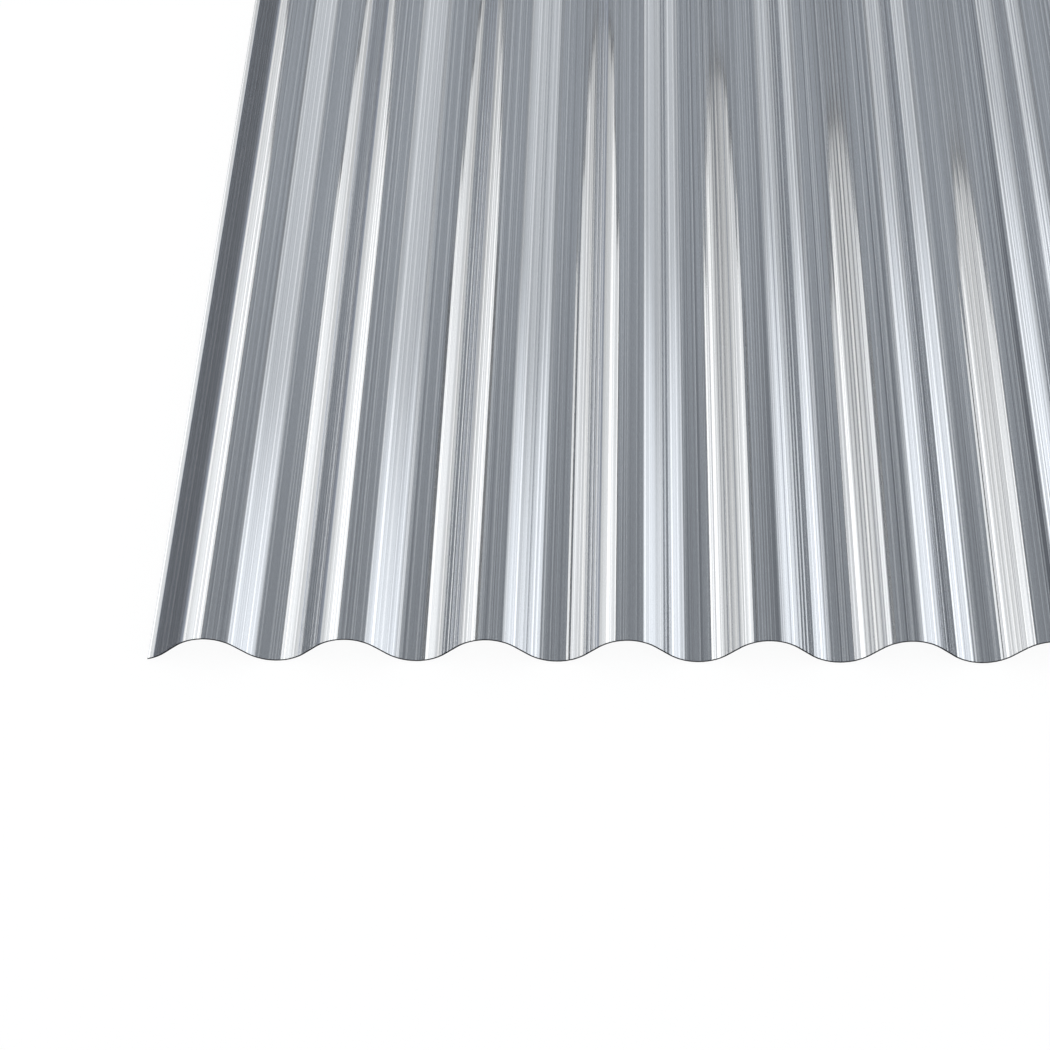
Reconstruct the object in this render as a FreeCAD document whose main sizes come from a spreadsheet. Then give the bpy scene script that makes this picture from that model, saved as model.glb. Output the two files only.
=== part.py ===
"""Corrugated polycarbonate roofing sheet, extruded in one piece.

Frame: +X across the waves, +Y along them, +Z up. The origin is under the middle of the sheet,
at the level that its troughs rest on. Sizes are in millimetres and angles in degrees.
"""

import FreeCAD, Part
import math
import os
import Sketcher

# alias, value, what it measures
DIMENSIONS = (
    ("sheet_length", 2000, "along the waves, from cut end to cut end"),
    ("wave_pitch", 76, "from crest to crest"),
    ("wave_depth", 18, "from the underside of the troughs to the top of the crests"),
    ("crest_count", 12, "crests across the sheet"),
    ("flank_angle", 40, "slope of the straight flank between a trough and a crest"),
    ("wall_thickness", 1, "square to the surface, the same all over"),
    ("edge_trim", 6, "how far a side edge stops short of the middle of the last trough"),
    ("saw_margin", 5, "how far the side cuts run past the rough extrusion"),
)

WIDTH = "(Dimensions.crest_count * Dimensions.wave_pitch - 2 * Dimensions.edge_trim)"

START, END, CENTRE = 1, 2, 3  # the sketcher's numbers for the points of an edge
AXIS = -1  # the sketcher's number for a sketch's horizontal axis, which starts at its origin

CHECK_TOLERANCE = 0.01  # how far a finished size may be from its value


def make_dimensions(doc):
    """The spreadsheet that every size in the model is bound to."""
    table = doc.addObject("Spreadsheet::Sheet", "Dimensions")
    for row, (alias, value, meaning) in enumerate(DIMENSIONS, start=1):
        table.set(f"A{row}", alias)
        table.set(f"B{row}", str(value))
        table.set(f"C{row}", meaning)
        table.setAlias(f"B{row}", alias)
    doc.recompute()
    return table


def origin_feature(body, role):
    """One of a body's own origin planes or axes."""
    return next(f for f in body.Origin.OriginFeatures if f.Role == role)


def add_sketch(body, name):
    """A sketch on the plane square to the waves: its x is the model's X, and its y is Z."""
    sketch = body.newObject("Sketcher::SketchObject", name)
    sketch.AttachmentSupport = (origin_feature(body, "XZ_Plane"), "")
    sketch.MapMode = "FlatFace"
    return sketch


def constrain(sketch, kind, *references):
    """Adds a constraint that has no size of its own."""
    sketch.addConstraint(Sketcher.Constraint(kind, *references))


def dimension(sketch, name, kind, references, value, expression):
    """Adds a sized constraint and binds it to the spreadsheet."""
    index = sketch.addConstraint(Sketcher.Constraint(kind, *references, value))
    sketch.renameConstraint(index, name)
    sketch.setExpression(f"Constraints.{name}", expression)


def add_bend(sketch, centre, radius, start_angle, end_angle):
    """An arc of a trough or a crest, anticlockwise between two angles."""
    circle = Part.Circle(centre, FreeCAD.Vector(0, 0, 1), radius)
    return sketch.addGeometry(Part.ArcOfCircle(circle, start_angle, end_angle), False)


def add_line(sketch, first, second):
    """A straight edge between two points."""
    return sketch.addGeometry(Part.LineSegment(first, second), False)


def add_wave_face(sketch, origin_x, sizes, trough_radius, crest_radius):
    """One face of a wave: half a trough, a flank, a crest, a flank and half a trough."""
    turn = math.radians(sizes.flank_angle)
    down = math.radians(270)
    up = math.radians(90)
    outer_radius = max(trough_radius, crest_radius)
    left_centre = FreeCAD.Vector(origin_x, outer_radius, 0)
    crest_centre = FreeCAD.Vector(
        origin_x + sizes.wave_pitch / 2, sizes.wave_depth - outer_radius, 0
    )
    right_centre = FreeCAD.Vector(origin_x + sizes.wave_pitch, outer_radius, 0)

    left = add_bend(sketch, left_centre, trough_radius, down, down + turn)
    crest = add_bend(sketch, crest_centre, crest_radius, up - turn, up + turn)
    right = add_bend(sketch, right_centre, trough_radius, down - turn, down)
    rise = add_line(sketch, sketch.getPoint(left, END), sketch.getPoint(crest, END))
    fall = add_line(sketch, sketch.getPoint(crest, START), sketch.getPoint(right, START))

    constrain(sketch, "Tangent", left, END, rise, START)
    constrain(sketch, "Tangent", rise, END, crest, END)
    constrain(sketch, "Tangent", crest, START, fall, START)
    constrain(sketch, "Tangent", fall, END, right, START)
    return left, rise, crest, fall, right


def sketch_wave(body, sizes):
    """The section of one wave, from the middle of a trough to the middle of the next."""
    sketch = add_sketch(body, "WaveSection")

    turn = math.radians(sizes.flank_angle)
    rise = (sizes.wave_depth - sizes.wall_thickness) / 2
    middle_radius = (sizes.wave_pitch / 4 * math.tan(turn) - rise) / (1 / math.cos(turn) - 1)
    inner_radius = middle_radius - sizes.wall_thickness / 2
    outer_radius = middle_radius + sizes.wall_thickness / 2
    origin_x = -sizes.crest_count * sizes.wave_pitch / 2

    under = add_wave_face(sketch, origin_x, sizes, outer_radius, inner_radius)
    over = add_wave_face(sketch, origin_x, sizes, inner_radius, outer_radius)
    under_left, under_rise, under_crest, under_fall, under_right = under
    over_left, over_rise, over_crest, over_fall, over_right = over
    left_end = add_line(
        sketch, sketch.getPoint(under_left, START), sketch.getPoint(over_left, START)
    )
    right_end = add_line(
        sketch, sketch.getPoint(under_right, END), sketch.getPoint(over_right, END)
    )

    # Each pair of faces shares its bend centres, so the wall is equally thick all along.
    constrain(sketch, "Coincident", under_left, CENTRE, over_left, CENTRE)
    constrain(sketch, "Coincident", under_crest, CENTRE, over_crest, CENTRE)
    constrain(sketch, "Coincident", under_right, CENTRE, over_right, CENTRE)
    constrain(sketch, "Equal", under_left, over_crest)
    constrain(sketch, "Equal", under_left, under_right)
    constrain(sketch, "Equal", over_left, under_crest)
    constrain(sketch, "Equal", over_left, over_right)

    # Both ends of the section are upright, in the middle of a trough that rests on Z = 0.
    for end, lower, upper, point in (
        (left_end, under_left, over_left, START),
        (right_end, under_right, over_right, END),
    ):
        constrain(sketch, "Coincident", end, START, lower, point)
        constrain(sketch, "Coincident", end, END, upper, point)
        constrain(sketch, "Vertical", end)
        constrain(sketch, "Vertical", end, START, lower, CENTRE)
        constrain(sketch, "PointOnObject", end, START, AXIS)

    # The highest point of the crest.
    top = sketch.addGeometry(
        Part.Point(FreeCAD.Vector(origin_x + sizes.wave_pitch / 2, sizes.wave_depth, 0)), True
    )
    constrain(sketch, "PointOnObject", top, START, over_crest)
    constrain(sketch, "Vertical", top, START, over_crest, CENTRE)

    dimension(
        sketch, "half_width", "DistanceX", (left_end, START, AXIS, START),
        -origin_x, "Dimensions.crest_count * Dimensions.wave_pitch / 2",
    )
    dimension(
        sketch, "pitch", "DistanceX", (left_end, START, right_end, START),
        sizes.wave_pitch, "Dimensions.wave_pitch",
    )
    dimension(
        sketch, "half_pitch", "DistanceX", (left_end, START, top, START),
        sizes.wave_pitch / 2, "Dimensions.wave_pitch / 2",
    )
    dimension(
        sketch, "depth", "DistanceY", (left_end, START, top, START),
        sizes.wave_depth, "Dimensions.wave_depth",
    )
    dimension(
        sketch, "thickness", "DistanceY", (left_end, START, left_end, END),
        sizes.wall_thickness, "Dimensions.wall_thickness",
    )
    dimension(
        sketch, "slope", "Angle", (under_rise,),
        turn, "Dimensions.flank_angle * 1 deg",
    )
    return sketch


def sketch_side_cuts(body, sizes):
    """Two strips that a saw takes off the rough extrusion, one at each side edge."""
    sketch = add_sketch(body, "SideCuts")
    inner = sizes.crest_count * sizes.wave_pitch / 2 - sizes.edge_trim
    outer = inner + sizes.edge_trim + sizes.saw_margin
    bottom = -sizes.saw_margin
    top = sizes.wave_depth + sizes.saw_margin

    for side, name in ((-1, "left"), (1, "right")):
        corners = (
            FreeCAD.Vector(side * inner, bottom, 0),
            FreeCAD.Vector(side * outer, bottom, 0),
            FreeCAD.Vector(side * outer, top, 0),
            FreeCAD.Vector(side * inner, top, 0),
        )
        low, outside, high, inside = (
            add_line(sketch, corners[i], corners[(i + 1) % 4]) for i in range(4)
        )
        for edge, following in ((low, outside), (outside, high), (high, inside), (inside, low)):
            constrain(sketch, "Coincident", edge, END, following, START)
        for edge in (low, high):
            constrain(sketch, "Horizontal", edge)
        for edge in (outside, inside):
            constrain(sketch, "Vertical", edge)

        edge_points = (low, START, AXIS, START) if side < 0 else (AXIS, START, low, START)
        strip_points = (low, END, low, START) if side < 0 else (low, START, low, END)
        dimension(
            sketch, f"{name}_edge", "DistanceX", edge_points,
            inner, f"{WIDTH} / 2",
        )
        dimension(
            sketch, f"{name}_strip", "DistanceX", strip_points,
            outer - inner, "Dimensions.edge_trim + Dimensions.saw_margin",
        )
        dimension(
            sketch, f"{name}_bottom", "DistanceY", (low, START, AXIS, START),
            -bottom, "Dimensions.saw_margin",
        )
        dimension(
            sketch, f"{name}_height", "DistanceY", (outside, START, outside, END),
            top - bottom, "Dimensions.wave_depth + 2 * Dimensions.saw_margin",
        )
    return sketch


def make_sheet(doc, sizes):
    """The sheet: one wave extruded, repeated across, and trimmed at both sides."""
    body = doc.addObject("PartDesign::Body", "CorrugatedSheet")
    body.Label = "corrugated_sheet"
    body.Placement = FreeCAD.Placement()

    wave_section = sketch_wave(body, sizes)
    wave = body.newObject("PartDesign::Pad", "Wave")
    wave.Profile = wave_section
    wave.SideType = "Symmetric"
    wave.setExpression("Length", "Dimensions.sheet_length")
    body.Tip = wave
    doc.recompute()

    waves = body.newObject("PartDesign::LinearPattern", "Waves")
    waves.Originals = [wave]
    waves.Direction = (origin_feature(body, "X_Axis"), [""])
    waves.Mode = "Spacing"
    waves.setExpression("Offset", "Dimensions.wave_pitch")
    waves.setExpression("Occurrences", "Dimensions.crest_count")
    waves.Refine = True
    body.Tip = waves
    doc.recompute()

    trimmed = body.newObject("PartDesign::Pocket", "TrimmedSides")
    trimmed.Profile = sketch_side_cuts(body, sizes)
    trimmed.Type = "ThroughAll"
    trimmed.SideType = "Symmetric"
    trimmed.Refine = True
    body.Tip = trimmed
    doc.recompute()
    return body, waves, trimmed


def require(condition, message):
    if not condition:
        raise RuntimeError(message)


def check_model(doc, sizes, body, waves, trimmed):
    """Stops the build if a feature failed or the sheet has the wrong size."""
    for feature in doc.Objects:
        broken = {"Invalid", "Error"} & set(feature.State)
        require(not broken, f"{feature.Name} is {sorted(broken)}")
    for sketch in doc.findObjects("Sketcher::SketchObject"):
        require(sketch.FullyConstrained, f"{sketch.Name} is not fully constrained")

    shape = body.Shape
    require(not shape.isNull() and shape.isValid(), "the sheet's shape is not valid")
    require(len(shape.Solids) == 1, f"the sheet has {len(shape.Solids)} solids")

    box = shape.BoundBox
    for name, found, wanted in (
        ("width", box.XLength, sizes.crest_count * sizes.wave_pitch - 2 * sizes.edge_trim),
        ("length", box.YLength, sizes.sheet_length),
        ("depth", box.ZLength, sizes.wave_depth),
        ("lowest point", box.ZMin, 0),
    ):
        require(abs(found - wanted) < CHECK_TOLERANCE, f"the sheet's {name} is {found} mm")

    cut_volume = waves.Shape.Volume - trimmed.Shape.Volume
    require(cut_volume > 0, "the side cuts took nothing off")


def main():
    doc = FreeCAD.newDocument("CorrugatedPolycarbonateSheet")
    sizes = make_dimensions(doc)
    body, waves, trimmed = make_sheet(doc, sizes)
    check_model(doc, sizes, body, waves, trimmed)

    os.makedirs("parts", exist_ok=True)
    body.Shape.exportStep(f"parts/{body.Label}.step")
    box = body.Shape.BoundBox
    print(f"{body.Label}: {box.XLength:.2f} x {box.YLength:.2f} x {box.ZLength:.2f} mm")
    print(f"volume {body.Shape.Volume / 1000:.1f} cm3, {len(body.Shape.Faces)} faces")


main()
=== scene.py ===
"""Corrugated polycarbonate roofing sheet, modelled in full around its CAD solid, on a plain studio floor.

The row frame holds: +X across the waves, +Y along them, +Z up, in metres. The sheet's length, width and
depth come from the CAD solid. The section follows the same rule as the solid's: each trough and crest
is an arc, and straight flanks join them.
"""

import math
from contextlib import contextmanager

import bmesh
import bpy
from bpy.props import FloatProperty, FloatVectorProperty, IntProperty, PointerProperty
from mathutils import Matrix, Vector


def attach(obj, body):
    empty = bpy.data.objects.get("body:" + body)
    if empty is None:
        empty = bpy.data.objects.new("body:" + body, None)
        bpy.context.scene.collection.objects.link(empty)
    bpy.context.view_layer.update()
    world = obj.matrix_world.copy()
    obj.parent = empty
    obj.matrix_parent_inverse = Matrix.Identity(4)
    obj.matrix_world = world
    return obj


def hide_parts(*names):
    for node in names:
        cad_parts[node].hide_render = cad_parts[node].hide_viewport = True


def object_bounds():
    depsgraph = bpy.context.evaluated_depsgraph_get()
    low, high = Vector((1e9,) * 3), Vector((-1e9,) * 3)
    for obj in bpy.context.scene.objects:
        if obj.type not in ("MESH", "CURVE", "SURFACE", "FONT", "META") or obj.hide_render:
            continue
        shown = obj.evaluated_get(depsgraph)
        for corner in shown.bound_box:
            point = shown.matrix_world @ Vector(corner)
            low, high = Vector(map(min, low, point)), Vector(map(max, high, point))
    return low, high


bl_info = {
    "name": "Corrugated Polycarbonate Sheet",
    "version": (1, 0, 0),
    "blender": (4, 5, 0),
    "location": "3D View > Sidebar > Corrugated Sheet",
    "description": "Builds a corrugated polycarbonate roofing sheet and a plain studio around it",
    "category": "Add Mesh",
}

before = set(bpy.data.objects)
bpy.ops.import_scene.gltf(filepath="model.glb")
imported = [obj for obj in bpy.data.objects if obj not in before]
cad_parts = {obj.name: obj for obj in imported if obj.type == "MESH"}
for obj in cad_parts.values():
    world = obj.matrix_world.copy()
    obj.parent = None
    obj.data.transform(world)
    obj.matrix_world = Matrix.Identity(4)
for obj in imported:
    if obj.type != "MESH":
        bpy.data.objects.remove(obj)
CAD_NODE = "corrugated_sheet"
CAD_LOW, CAD_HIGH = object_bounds()
LENGTH = CAD_HIGH.y - CAD_LOW.y
WIDTH = CAD_HIGH.x - CAD_LOW.x

MM = 0.001
UPRIGHT = 0.9  # a face whose normal has this much along X or Y counts as an end or a side
MERGE_DISTANCE = 0.01 * MM
SMOOTH_ANGLE = math.radians(30)


# ---------------------------------------------------------------- settings


class SheetSizes(bpy.types.PropertyGroup):
    """The sizes of the wave and of the fine lines that the die leaves along it."""

    wave_pitch: FloatProperty(
        name="Wave Pitch",
        description="Distance from crest to crest",
        default=76 * MM,
        min=10 * MM,
        unit="LENGTH",
        precision=4,
    )
    flank_angle: FloatProperty(
        name="Flank Angle",
        description="Slope of the straight flank between a trough and a crest",
        default=math.radians(40),
        subtype="ANGLE",
        unit="ROTATION",
    )
    wall_thickness: FloatProperty(
        name="Wall Thickness",
        description="Thickness of the sheet, over its die lines",
        default=1 * MM,
        unit="LENGTH",
        precision=4,
    )
    ribs_per_wave: IntProperty(
        name="Die Lines per Wave",
        description="How many fine ribs run along each wave",
        default=34,
        min=4,
    )
    rib_relief: FloatProperty(
        name="Die Line Relief",
        description="How far each fine rib stands proud of the middle of its ripple",
        default=0.03 * MM,
        unit="LENGTH",
        precision=6,
    )
    draw_relief: FloatProperty(
        name="Draw Relief",
        description="Height of the uneven lines that drawing the hot sheet leaves, from lowest to highest",
        default=0.2 * MM,
        unit="LENGTH",
        precision=6,
    )
    draw_pitch: FloatProperty(
        name="Draw Pitch",
        description="Typical distance across the waves between uneven lines",
        default=3.2 * MM,
        unit="LENGTH",
        precision=4,
    )


class SheetFinish(bpy.types.PropertyGroup):
    """The colours and gloss of the sheet."""

    tint: FloatVectorProperty(
        name="Tint",
        description="Silver-grey that the sheet's surface reflects",
        subtype="COLOR",
        size=3,
        min=0,
        max=1,
        default=(0.70, 0.72, 0.75),
    )
    # painted shade: this darker grey, laid along the fine die lines, stands in for the dark that their ribs
    # catch
    rib_shade: FloatVectorProperty(
        name="Streak",
        description="Darker grey of the fine lines along the sheet",
        subtype="COLOR",
        size=3,
        min=0,
        max=1,
        default=(0.3, 0.315, 0.35),
    )
    # painted highlight: this pale grey, laid along the hair lines, stands in for the light that the fine
    # ribs catch
    rib_highlight: FloatVectorProperty(
        name="Bright Line",
        description="Pale grey of the hair lines, where the die has polished the surface",
        subtype="COLOR",
        size=3,
        min=0,
        max=1,
        default=(0.97, 0.98, 1.0),
    )
    cut_edge: FloatVectorProperty(
        name="Cut Edge",
        description="Dark grey of the sawn faces, where light has a long way through the wall",
        subtype="COLOR",
        size=3,
        min=0,
        max=1,
        default=(0.006, 0.007, 0.009),
    )
    opacity: FloatProperty(
        name="Opacity",
        description="Share of the light that each face of the wall holds back",
        subtype="FACTOR",
        min=0,
        max=1,
        default=0.86,
    )


class StudioSettings(bpy.types.PropertyGroup):
    """The level of each light and the place of the camera."""

    left_level: FloatProperty(
        name="Left Softbox",
        description="Brightness of the softbox on the left",
        default=1.37,
        min=0,
    )
    right_level: FloatProperty(
        name="Right Softbox",
        description="Brightness of the softbox on the right",
        default=1.4,
        min=0,
    )
    ceiling_level: FloatProperty(
        name="Ceiling",
        description="Brightness of the dim ceiling between the softboxes",
        default=0.38,
        min=0,
    )
    overhead_power: FloatProperty(
        name="Overhead Lamp",
        description="Power of the broad lamp that lights the floor",
        default=3,
        min=0,
        unit="POWER",
    )
    lens: FloatProperty(
        name="Lens",
        description="Focal length of the camera on a sensor 36 mm wide",
        default=96.4,
        min=1,
        unit="CAMERA",
    )
    elevation: FloatProperty(
        name="Elevation",
        description="How far down the camera looks",
        default=math.radians(45.85),
        subtype="ANGLE",
    )
    heading: FloatProperty(
        name="Heading",
        description="How far the camera is turned from the waves, to the left",
        default=math.radians(3.39),
        subtype="ANGLE",
    )
    roll: FloatProperty(
        name="Roll",
        description="How far the camera is tipped about its own axis",
        default=math.radians(-2.34),
        subtype="ANGLE",
    )
    camera_place: FloatVectorProperty(
        name="Camera Place",
        description="From the sheet's front left corner to the camera",
        subtype="XYZ",
        unit="LENGTH",
        size=3,
        default=(0.2671, -1.0014, 1.1392),
    )


# ---------------------------------------------------------------- modelling helpers


@contextmanager
def edit_mode(obj, kind="VERT"):
    """Edit mode on one object, with nothing selected to start with."""
    bpy.context.view_layer.objects.active = obj
    bpy.ops.object.mode_set(mode="EDIT")
    bpy.ops.mesh.select_mode(type=kind)
    bpy.ops.mesh.select_all(action="DESELECT")
    try:
        yield
    finally:
        bpy.ops.object.mode_set(mode="OBJECT")


def select(obj, kind, wanted):
    """In edit mode, selects the "verts" or "faces" for which wanted(one) is true, and no others."""
    mesh = bmesh.from_edit_mesh(obj.data)
    for one in getattr(mesh, kind):
        one.select_set(wanted(one))
    mesh.select_flush_mode()
    bmesh.update_edit_mesh(obj.data)


def apply_modifier(obj, kind, **values):
    """Adds a modifier, sets it up and applies it."""
    bpy.context.view_layer.objects.active = obj
    bpy.ops.object.modifier_add(type=kind)
    modifier = obj.modifiers[-1]
    for name, value in values.items():
        setattr(modifier, name, value)
    bpy.ops.object.modifier_apply(modifier=modifier.name)


def add_plane(name, size_x, size_y):
    """A flat rectangle in the XY plane, centred on the origin, unscaled and the only thing selected."""
    bpy.ops.object.select_all(action="DESELECT")
    bpy.ops.mesh.primitive_plane_add(size=1)
    obj = bpy.context.object
    obj.name = name
    obj.data.name = name
    with edit_mode(obj):
        bpy.ops.mesh.select_all(action="SELECT")
        bpy.ops.transform.resize(value=(size_x, size_y, 1))
    return obj


# ---------------------------------------------------------------- the wave


STEPS_PER_RIB = 6  # lines of vertices from one rib's root to the next
FAINT_SHARE = 0.4  # how strong the die's lines are at the left edge, where they are faintest
FULL_FROM = 0.45  # how far across the sheet they reach full strength
UNCHANGING = 1000  # metres over which a drawn line stays as it is, along the sheet and through it


class Wave:
    """The middle surface of one wave: half a trough, a flank, a crest, a flank and half a trough."""

    def __init__(self, sizes):
        self.pitch = sizes.wave_pitch
        self.angle = sizes.flank_angle
        self.wall = sizes.wall_thickness
        self.count = round(WIDTH / self.pitch)
        self.low = CAD_LOW.z + self.wall / 2
        self.high = CAD_HIGH.z - self.wall / 2
        rise = (self.high - self.low) / 2
        run = self.pitch / 4
        self.radius = (run * math.tan(self.angle) - rise) / (1 / math.cos(self.angle) - 1)
        self.flank = 2 * (run - self.radius * math.sin(self.angle)) / math.cos(self.angle)
        self.half_bend = self.radius * self.angle

        steps = sizes.ribs_per_wave * STEPS_PER_RIB
        around = 4 * self.half_bend + 2 * self.flank
        self.half_bend_steps = round(steps * self.half_bend / around)
        self.flank_steps = (steps - 4 * self.half_bend_steps) // 2
        self.start_x = -self.count * self.pitch / 2


def start_edge(wave):
    """One straight edge as long as the sheet, along the middle of the first trough."""
    obj = add_plane("polycarbonate_sheet", LENGTH, LENGTH)
    with edit_mode(obj):
        select(obj, "verts", lambda v: v.co.x > 0)
        bpy.ops.mesh.delete(type="VERT")
        bpy.ops.mesh.select_all(action="SELECT")
        bpy.ops.transform.translate(value=(wave.start_x + LENGTH / 2, 0, wave.low))
    return obj


def spin_bend(centre, angle, steps):
    """Sweeps the selected edge round a bend. A positive angle turns it up out of a trough."""
    bpy.ops.mesh.spin(steps=steps, angle=angle, center=centre, axis=(0, 1, 0))


def extrude_flank(wave, upwards):
    """Sweeps the selected edge along a straight flank, one rib step at a time."""
    step = wave.flank / wave.flank_steps
    rise = step * math.sin(wave.angle) * (1 if upwards else -1)
    move = (step * math.cos(wave.angle), 0, rise)
    for _ in range(wave.flank_steps):
        bpy.ops.mesh.extrude_edges_move(TRANSFORM_OT_translate={"value": move})


def sweep_wave(obj, wave):
    """Sweeps the starting edge across one wave."""
    trough_height = wave.low + wave.radius
    crest_height = wave.high - wave.radius
    with edit_mode(obj, "EDGE"):
        bpy.ops.mesh.select_all(action="SELECT")
        spin_bend((wave.start_x, 0, trough_height), wave.angle, wave.half_bend_steps)
        extrude_flank(wave, upwards=True)
        crest_x = wave.start_x + wave.pitch / 2
        spin_bend((crest_x, 0, crest_height), -2 * wave.angle, 2 * wave.half_bend_steps)
        extrude_flank(wave, upwards=False)
        end_x = wave.start_x + wave.pitch
        spin_bend((end_x, 0, trough_height), wave.angle, wave.half_bend_steps)


def line_strength(x):
    """How strongly the die has marked the sheet at x: lightly at the left edge, fully from the middle on."""
    share = (x - CAD_LOW.x) / (WIDTH * FULL_FROM)
    return FAINT_SHARE + (1 - FAINT_SHARE) * min(max(share, 0), 1)


def raise_ribs(obj, wave, relief):
    """Lifts every rib's top line and lowers every root line, square to the surface, wave by wave."""
    with edit_mode(obj):
        mesh = bmesh.from_edit_mesh(obj.data)
        ordered = sorted(mesh.verts, key=lambda v: v.co.x)
        line_of = {vertex.index: rank // 2 for rank, vertex in enumerate(ordered)}
        lines_per_wave = (len(ordered) // 2 - 1) // wave.count
        for number in range(wave.count):
            height = relief * line_strength(wave.start_x + (number + 0.5) * wave.pitch)
            lines = range(number * lines_per_wave, (number + 1) * lines_per_wave)
            for part, value in ((STEPS_PER_RIB // 2, height), (0, -height)):
                select(
                    obj,
                    "verts",
                    lambda v: line_of[v.index] in lines and line_of[v.index] % STEPS_PER_RIB == part,
                )
                bpy.ops.transform.shrink_fatten(value=value)


def draw_lines(obj, sizes):
    """Presses uneven lines into the surface, all parallel to the waves."""
    texture = bpy.data.textures.new("draw_lines", "CLOUDS")
    texture.noise_scale = 1.0
    texture.noise_depth = 3
    stretch = bpy.data.objects.new("draw_lines_space", None)
    bpy.context.collection.objects.link(stretch)
    stretch.scale = (sizes.draw_pitch, UNCHANGING, UNCHANGING)
    stretch.location = (0, 0, 1)
    bpy.context.view_layer.update()
    marked = obj.vertex_groups.new(name="drawn_lines")
    for vertex in obj.data.vertices:
        marked.add([vertex.index], line_strength(vertex.co.x), "REPLACE")
    apply_modifier(
        obj,
        "DISPLACE",
        texture=texture,
        texture_coords="OBJECT",
        texture_coords_object=stretch,
        strength=sizes.draw_relief,
        mid_level=0.5,
        vertex_group=marked.name,
    )
    obj.vertex_groups.clear()
    bpy.data.objects.remove(stretch)
    bpy.data.textures.remove(texture)


def saw_sides(obj):
    """Saws both side edges square, to the sheet's width."""
    for side in (-1, 1):
        with edit_mode(obj):
            bpy.ops.mesh.select_all(action="SELECT")
            bpy.ops.mesh.bisect(
                plane_co=(side * WIDTH / 2, 0, 0),
                plane_no=(side, 0, 0),
                use_fill=True,
                clear_outer=True,
            )


def is_sawn(face):
    """True for the faces that the saw leaves, at the sheet's ends and sides."""
    return abs(face.normal.y) > UPRIGHT or abs(face.normal.x) > UPRIGHT


def make_sheet(sizes):
    """The finished sheet, at the origin."""
    wave = Wave(sizes)
    obj = start_edge(wave)
    sweep_wave(obj, wave)
    apply_modifier(
        obj,
        "ARRAY",
        count=wave.count,
        use_relative_offset=False,
        use_constant_offset=True,
        constant_offset_displace=(wave.pitch, 0, 0),
        use_merge_vertices=True,
        merge_threshold=MERGE_DISTANCE,
    )
    with edit_mode(obj):
        bpy.ops.mesh.select_all(action="SELECT")
        bpy.ops.mesh.normals_make_consistent(inside=False)
    raise_ribs(obj, wave, sizes.rib_relief)
    draw_lines(obj, sizes)
    room_for_lines = 2 * sizes.rib_relief + sizes.draw_relief / 4
    apply_modifier(
        obj,
        "SOLIDIFY",
        thickness=sizes.wall_thickness - room_for_lines,
        offset=0,
        use_even_offset=True,
    )
    saw_sides(obj)
    with edit_mode(obj):
        bpy.ops.mesh.select_all(action="SELECT")
        bpy.ops.mesh.normals_make_consistent(inside=False)
    bpy.ops.object.shade_smooth_by_angle(angle=SMOOTH_ANGLE)
    return obj


# ---------------------------------------------------------------- finishes


PLASTIC_IOR = 1.585
MIRROR_SHARE = 0.95  # how far the surface reflects like metal
FINE_LINES = 650  # to a metre across the waves, as are the next three
HAIR_LINES = 800
LINE_CLUSTERS = 30
SWELLS = 18
FINE_DEPTH = 0.01 * MM
SWELL_DEPTH = 0.15 * MM
CLUSTER_GLOSS = (0.07, 0.12)  # roughness between clusters of lines, and on them
# the dark lines that grow here are painted shade
FAINT_TO, STRONG_FROM = -0.35, 0.05  # places along X between which the dark lines grow
SAW_MARKS = 2500  # to a metre
SAW_MARK_CONTRAST = 2.5
SAW_MARK_GLOSS = (0.5, 0.7)

class Nodes:
    """A material's node tree, built one node at a time."""

    def __init__(self, name):
        self.material = bpy.data.materials.new(name)
        self.material.use_nodes = True
        self.tree = self.material.node_tree
        self.tree.nodes.clear()

    def add(self, kind, settings=None, **inputs):
        """Adds a node, sets its properties, and feeds its inputs with values or other nodes' outputs.

        An input is named with underscores for spaces, or numbered as i0, i1 and so on.
        """
        node = self.tree.nodes.new("ShaderNode" + kind)
        for key, value in (settings or {}).items():
            setattr(node, key, value)
        for key, value in inputs.items():
            numbered = key[0] == "i" and key[1:].isdigit()
            socket = node.inputs[int(key[1:]) if numbered else key.replace("_", " ")]
            if isinstance(value, bpy.types.NodeSocket):
                self.tree.links.new(value, socket)
            else:
                socket.default_value = value
        return node

    def lines(self, per_metre, drift=0.0, detail=2.0, roughness=0.5):
        """Noise that changes quickly across the waves and slowly along them, from 0 to 1."""
        place = self.add("TexCoord").outputs["Object"]
        stretched = self.add("Mapping", Vector=place, Scale=(per_metre, drift, 0)).outputs[0]
        return self.add(
            "TexNoise",
            {"noise_dimensions": "2D"},
            Vector=stretched,
            Scale=1.0,
            Detail=detail,
            Roughness=roughness,
        ).outputs["Fac"]

    def math(self, operation, first, second):
        return self.add("Math", {"operation": operation}, i0=first, i1=second).outputs[0]

    def mix(self, share, first, second):
        """A blend of two colours, each a colour triple or another node's output."""
        first, second = (c if isinstance(c, bpy.types.NodeSocket) else (*c, 1) for c in (first, second))
        return self.add("Mix", {"data_type": "RGBA"}, i0=share, i6=first, i7=second).outputs[2]

    def map_range(self, value, low, high, to_low, to_high):
        node = self.add("MapRange", {"clamp": True}, Value=value)
        limits = {"From Min": low, "From Max": high, "To Min": to_low, "To Max": to_high}
        for name, limit in limits.items():
            node.inputs[name].default_value = limit
        return node.outputs["Result"]

    def ramp(self, value, stops):
        """A grey ramp through the given (place, brightness) stops."""
        node = self.add("ValToRGB", Fac=value)
        elements = node.color_ramp.elements
        elements.remove(elements[1])
        elements[0].position = stops[0][0]
        for place, _ in stops[1:]:
            elements.new(place)
        for element, (_, level) in zip(elements, stops):
            element.color = (level, level, level, 1)
        return node.outputs["Color"]

    def finish(self, shader):
        output = self.add("OutputMaterial")
        self.tree.links.new(shader.outputs[0], output.inputs["Surface"])
        return self.material


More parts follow.
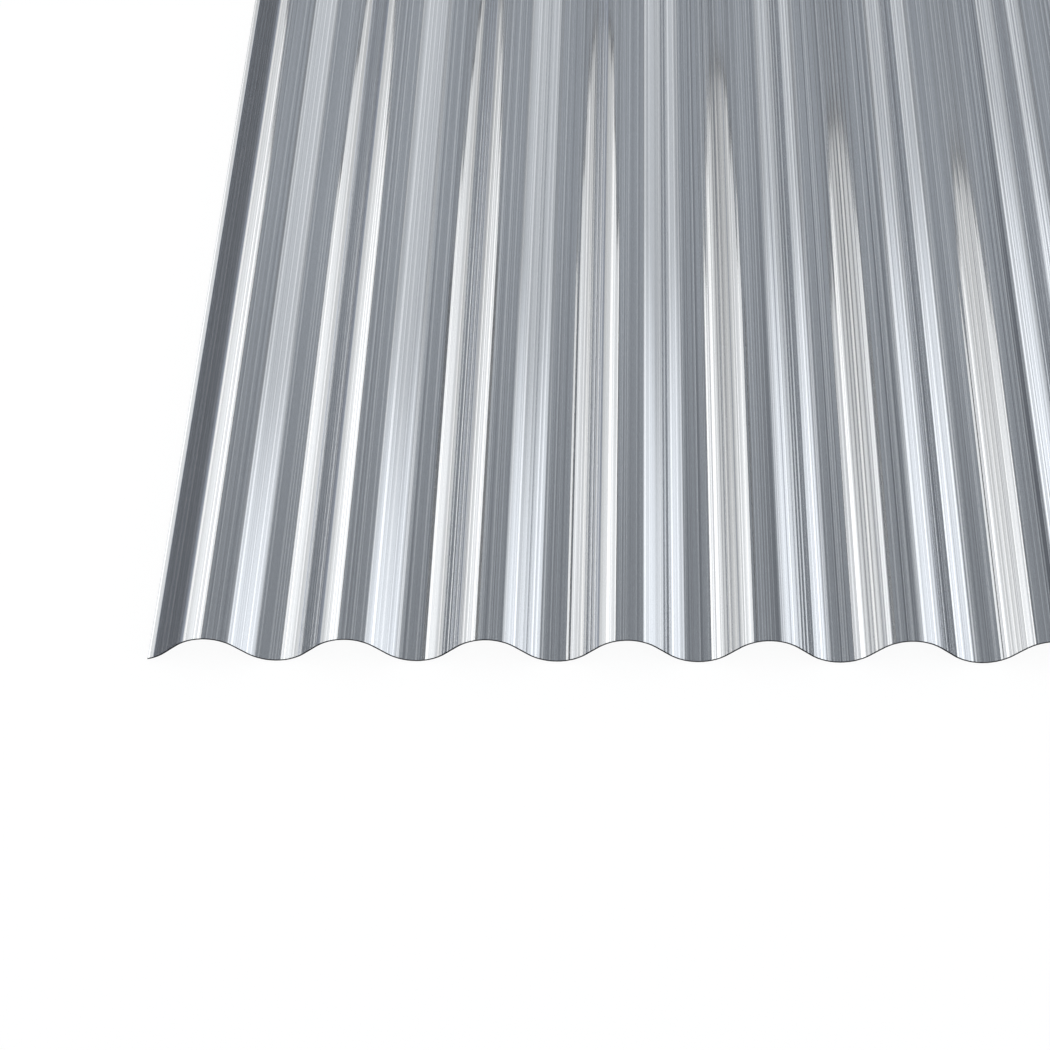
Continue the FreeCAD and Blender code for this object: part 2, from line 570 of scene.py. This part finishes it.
def sheet_material(finish):
    """Glossy silver-grey polycarbonate, lined along its length by the die, with painted shade and painted
    highlights laid as dark and pale lines along the die's ribs.
    """
    nodes = Nodes("smoked_polycarbonate")
    fine = nodes.lines(FINE_LINES, drift=0.3, detail=3, roughness=0.6)
    hair = nodes.lines(HAIR_LINES, drift=0.2, detail=1)
    clusters = nodes.lines(LINE_CLUSTERS, drift=0.4, detail=1)
    place = nodes.add("TexCoord").outputs["Object"]
    across = nodes.add("SeparateXYZ", Vector=place).outputs["X"]

    crowding = nodes.map_range(clusters, 0.35, 0.65, 0.3, 1.0)
    growth = nodes.map_range(across, FAINT_TO, STRONG_FROM, 0.35, 1.0)
    # painted shade: dark lines along the die's ribs, stronger in clusters and towards +X
    rib_shade_strength = nodes.math("MULTIPLY", crowding, growth)
    dark = nodes.math("MULTIPLY", nodes.map_range(fine, 0.5, 0.4, 0.0, 1.0), rib_shade_strength)
    # painted highlight: pale lines along the die's hair lines
    rib_highlight_mask = nodes.map_range(hair, 0.53, 0.64, 0.0, 1.0)
    colour = nodes.mix(dark, finish.tint, finish.rib_shade)
    colour = nodes.mix(rib_highlight_mask, colour, finish.rib_highlight)

    swells = nodes.lines(SWELLS, drift=5.0, detail=1)
    swell = nodes.add("Bump", Strength=1.0, Distance=SWELL_DEPTH, Height=swells).outputs["Normal"]
    relief = nodes.add("Bump", Strength=1.0, Distance=FINE_DEPTH, Height=fine, Normal=swell)
    shader = nodes.add(
        "BsdfPrincipled",
        Base_Color=colour,
        Metallic=MIRROR_SHARE,
        Roughness=nodes.map_range(clusters, 0.3, 0.7, *CLUSTER_GLOSS),
        IOR=PLASTIC_IOR,
        Alpha=finish.opacity,
        Normal=relief.outputs["Normal"],
        Coat_Weight=0.6,
        Coat_Roughness=0.05,
        Coat_IOR=PLASTIC_IOR,
    )
    return nodes.finish(shader)


def cut_edge_material(finish):
    """The sawn faces: dark, and dulled by fine saw marks."""
    nodes = Nodes("sawn_polycarbonate_edge")
    marks = nodes.lines(SAW_MARKS, detail=4, roughness=0.7)
    pale = [SAW_MARK_CONTRAST * c for c in finish.cut_edge]
    shader = nodes.add(
        "BsdfPrincipled",
        Base_Color=nodes.mix(marks, finish.cut_edge, pale),
        Roughness=nodes.map_range(marks, 0.3, 0.7, *SAW_MARK_GLOSS),
        IOR=PLASTIC_IOR,
        Specular_IOR_Level=0.05,
    )
    return nodes.finish(shader)


# ---------------------------------------------------------------- studio


FLOOR_SIZE = 200
FLOOR_GLOW = 1.06
FLOOR_GLOW_SHARE = 0.85  # the rest takes light and shadow
SURROUND_LEVEL = 1.0
TENT_LENGTH = 8.0
LEFT_TOP, LEFT_BOTTOM = (-0.646, 0.924), (-1.35, 0.01)  # a softbox's edges, as (x, z)
RIGHT_TOP, RIGHT_BOTTOM = (0.33, 0.72), (1.1, 0.01)
FLAG_TOP = (CAD_LOW.x - 0.12, CAD_LOW.z + 0.08)
FLAG_BOTTOM = (CAD_LOW.x - 0.005, CAD_LOW.z + 0.0005)
FLAG_LEVEL = 0.7
LAMP_SIZE = (0.6, 3.0)
LAMP_PLACE = (-0.2, 0, 0.65)
SENSOR_WIDTH = 36
LEFT_COLOUR = (1, 1, 0.985)
RIGHT_COLOUR = (0.94, 0.97, 1.0)
CEILING_COLOUR = (0.87, 0.93, 1.0)
FLAG_COLOUR = (0.8, 0.87, 1.0)
NO_FADE = ((0.0, 1.0),)
COVER_EDGE = 0.04  # how far across the cover's lower edge lies
COVER_RIM = ((0.08, 0.0), (0.1, 1.0))  # the fade across from its dark rim to the bare cloth


def floor_material():
    """Plain pale floor, white to the camera and in what the sheet shows of it, with the sheet's shadow."""
    nodes = Nodes("studio_floor")
    place = nodes.add("TexCoord").outputs["Object"]
    grain = nodes.add("TexNoise", Vector=place, Scale=3.0).outputs["Fac"]
    tone = nodes.map_range(grain, 0.0, 1.0, 0.79, 0.81)
    colour = nodes.add("CombineColor", Red=tone, Green=tone, Blue=tone).outputs[0]
    diffuse = nodes.add("BsdfDiffuse", Color=colour).outputs[0]
    glow = nodes.add("Emission", Strength=FLOOR_GLOW).outputs[0]
    path = nodes.add("LightPath").outputs
    seen = nodes.math("MAXIMUM", path["Is Camera Ray"], path["Is Glossy Ray"])
    seen = nodes.math("MAXIMUM", seen, path["Is Transmission Ray"])
    share = nodes.math("MULTIPLY", seen, FLOOR_GLOW_SHARE)
    return nodes.finish(nodes.add("MixShader", Fac=share, i1=diffuse, i2=glow))


def softbox_material(name, colour, level, across=NO_FADE, along=NO_FADE, cover=None):
    """A glowing cloth whose light fades from its top edge down and from its front end back.

    A fade is a list of (place, brightness). Across, the place runs from 0 at the top edge to 1 at the
    bottom; along, it is metres back from the middle. The cover is a dimmer cloth hung over the top,
    lower and lower between its two places along, with a dark rim below it.
    """
    nodes = Nodes(name)
    place = nodes.add("SeparateXYZ", Vector=nodes.add("TexCoord").outputs["UV"])
    along = [(0.5 + metres / TENT_LENGTH, share) for metres, share in along]
    share = nodes.math(
        "MULTIPLY", nodes.ramp(place.outputs["X"], across), nodes.ramp(place.outputs["Y"], along)
    )
    strength = nodes.math("MULTIPLY", share, level)
    colour = (*colour, 1)
    if cover:
        start, end = (0.5 + metres / TENT_LENGTH for metres in cover["along"])
        drop = nodes.map_range(place.outputs["Y"], start, end, 0.0, 1.0)
        below = nodes.math("SUBTRACT", place.outputs["X"], drop)
        covered = nodes.math("LESS_THAN", below, COVER_EDGE)
        strength = nodes.math("MULTIPLY", strength, nodes.ramp(below, COVER_RIM))
        strength = nodes.math("MAXIMUM", strength, nodes.math("MULTIPLY", covered, cover["level"]))
        colour = nodes.mix(covered, colour[:3], cover["colour"])
    return nodes.finish(nodes.add("Emission", Color=colour, Strength=strength))


def add_panel(name, top, bottom, material):
    """A long panel beside the sheet, from a top edge to a bottom edge, each given as (x, z)."""
    top, bottom = Vector(top), Vector(bottom)
    panel = add_plane(name, (bottom - top).length, TENT_LENGTH)
    middle = (top + bottom) / 2
    slope = math.atan2(-(bottom - top).y, (bottom - top).x)
    turn = Matrix.Rotation(slope, 4, "Y")
    panel.data.transform(Matrix.Translation((middle.x, 0, middle.y)) @ turn)
    panel.data.materials.append(material)
    panel.visible_camera = False
    return panel


def build_stage(settings):
    floor = add_plane("studio_floor", FLOOR_SIZE, FLOOR_SIZE)
    floor.data.transform(Matrix.Translation((0, 0, CAD_LOW.z)))
    floor.data.materials.append(floor_material())

    add_panel(
        "left_softbox",
        LEFT_TOP,
        LEFT_BOTTOM,
        softbox_material(
            "left_softbox_cloth",
            LEFT_COLOUR,
            settings.left_level,
            across=((0.4, 1.0), (0.7, 0.6), (0.82, 0.4), (0.9, 0.1)),
            along=((0.0, 1.0), (0.6, 0.75)),
            cover={"along": (0.42, 1.2), "level": settings.ceiling_level, "colour": CEILING_COLOUR},
        ),
    )
    add_panel(
        "right_softbox",
        RIGHT_TOP,
        RIGHT_BOTTOM,
        softbox_material(
            "right_softbox_cloth",
            RIGHT_COLOUR,
            settings.right_level,
            across=((0.0, 0.35), (0.1, 0.8), (0.35, 1.0), (0.5, 1.0), (0.8, 0.75), (1.0, 0.5)),
            along=((-0.1, 1.0), (0.15, 0.85), (0.4, 0.55)),
        ),
    )
    add_panel(
        "studio_ceiling",
        LEFT_TOP,
        RIGHT_TOP,
        softbox_material(
            "ceiling_cloth",
            CEILING_COLOUR,
            settings.ceiling_level,
            along=((-0.2, 0.8), (0.4, 1.1)),
        ),
    )
    flag = add_panel(
        "left_flag",
        FLAG_TOP,
        FLAG_BOTTOM,
        softbox_material("flag_cloth", FLAG_COLOUR, FLAG_LEVEL, across=((0.0, 1.0), (0.7, 0.2))),
    )
    flag.visible_shadow = False
    flag.visible_diffuse = False

    lamp = bpy.data.lights.new("overhead_lamp", "AREA")
    lamp.shape = "RECTANGLE"
    lamp.size, lamp.size_y = LAMP_SIZE
    lamp.energy = settings.overhead_power
    overhead = bpy.data.objects.new("overhead_lamp", lamp)
    bpy.context.collection.objects.link(overhead)
    overhead.location = LAMP_PLACE
    overhead.visible_camera = False
    overhead.visible_glossy = False
    overhead.visible_transmission = False

    world = bpy.data.worlds.new("studio_surround")
    world.use_nodes = True
    background = world.node_tree.nodes["Background"]
    background.inputs["Color"].default_value = (1, 1, 1, 1)
    background.inputs["Strength"].default_value = SURROUND_LEVEL
    bpy.context.scene.world = world


def build_camera(settings):
    data = bpy.data.cameras.new("camera")
    data.lens = settings.lens
    data.sensor_width = SENSOR_WIDTH
    camera = bpy.data.objects.new("camera", data)
    bpy.context.collection.objects.link(camera)
    turn = (
        Matrix.Rotation(settings.heading, 4, "Z")
        @ Matrix.Rotation(math.pi / 2 - settings.elevation, 4, "X")
        @ Matrix.Rotation(settings.roll, 4, "Z")
    )
    camera.matrix_world = Matrix.Translation(CAD_LOW + Vector(settings.camera_place)) @ turn
    bpy.context.scene.camera = camera


# ---------------------------------------------------------------- operators, panel


class SHEET_OT_add_sheet(bpy.types.Operator):
    """Model the corrugated sheet and give it its finishes"""

    bl_idname = "polysheet.add_sheet"
    bl_label = "Add Sheet"
    bl_options = {"REGISTER", "UNDO"}

    def execute(self, context):
        scene = context.scene
        sheet = make_sheet(scene.sheet_sizes)
        sheet.data.materials.append(sheet_material(scene.sheet_finish))
        sheet.data.materials.append(cut_edge_material(scene.sheet_finish))
        with edit_mode(sheet, "FACE"):
            select(sheet, "faces", is_sawn)
            sheet.active_material_index = 1
            bpy.ops.object.material_slot_assign()
        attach(sheet, "root")
        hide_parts(CAD_NODE)
        return {"FINISHED"}


class SHEET_OT_add_stage(bpy.types.Operator):
    """Add the floor, the soft lights and the camera"""

    bl_idname = "polysheet.add_stage"
    bl_label = "Add Studio"
    bl_options = {"REGISTER", "UNDO"}

    def execute(self, context):
        build_stage(context.scene.studio)
        build_camera(context.scene.studio)
        context.scene.view_settings.view_transform = "Standard"
        return {"FINISHED"}


class SHEET_PT_panel(bpy.types.Panel):
    """Lists the sheet's and the studio's settings"""

    bl_idname = "SHEET_PT_panel"
    bl_label = "Corrugated Sheet"
    bl_space_type = "VIEW_3D"
    bl_region_type = "UI"
    bl_category = "Corrugated Sheet"

    def draw(self, context):
        layout = self.layout
        for group in (context.scene.sheet_sizes, context.scene.sheet_finish):
            for name in group.__annotations__:
                layout.prop(group, name)
        layout.operator(SHEET_OT_add_sheet.bl_idname)
        for name in context.scene.studio.__annotations__:
            layout.prop(context.scene.studio, name)
        layout.operator(SHEET_OT_add_stage.bl_idname)


CLASSES = (
    SheetSizes,
    SheetFinish,
    StudioSettings,
    SHEET_OT_add_sheet,
    SHEET_OT_add_stage,
    SHEET_PT_panel,
)


def register():
    for cls in CLASSES:
        bpy.utils.register_class(cls)
    bpy.types.Scene.sheet_sizes = PointerProperty(type=SheetSizes)
    bpy.types.Scene.sheet_finish = PointerProperty(type=SheetFinish)
    bpy.types.Scene.studio = PointerProperty(type=StudioSettings)


def unregister():
    del bpy.types.Scene.sheet_sizes
    del bpy.types.Scene.sheet_finish
    del bpy.types.Scene.studio
    for cls in reversed(CLASSES):
        bpy.utils.unregister_class(cls)


def main():
    register()
    bpy.ops.polysheet.add_sheet()
    bpy.ops.polysheet.add_stage()


if __name__ == "__main__":
    main()
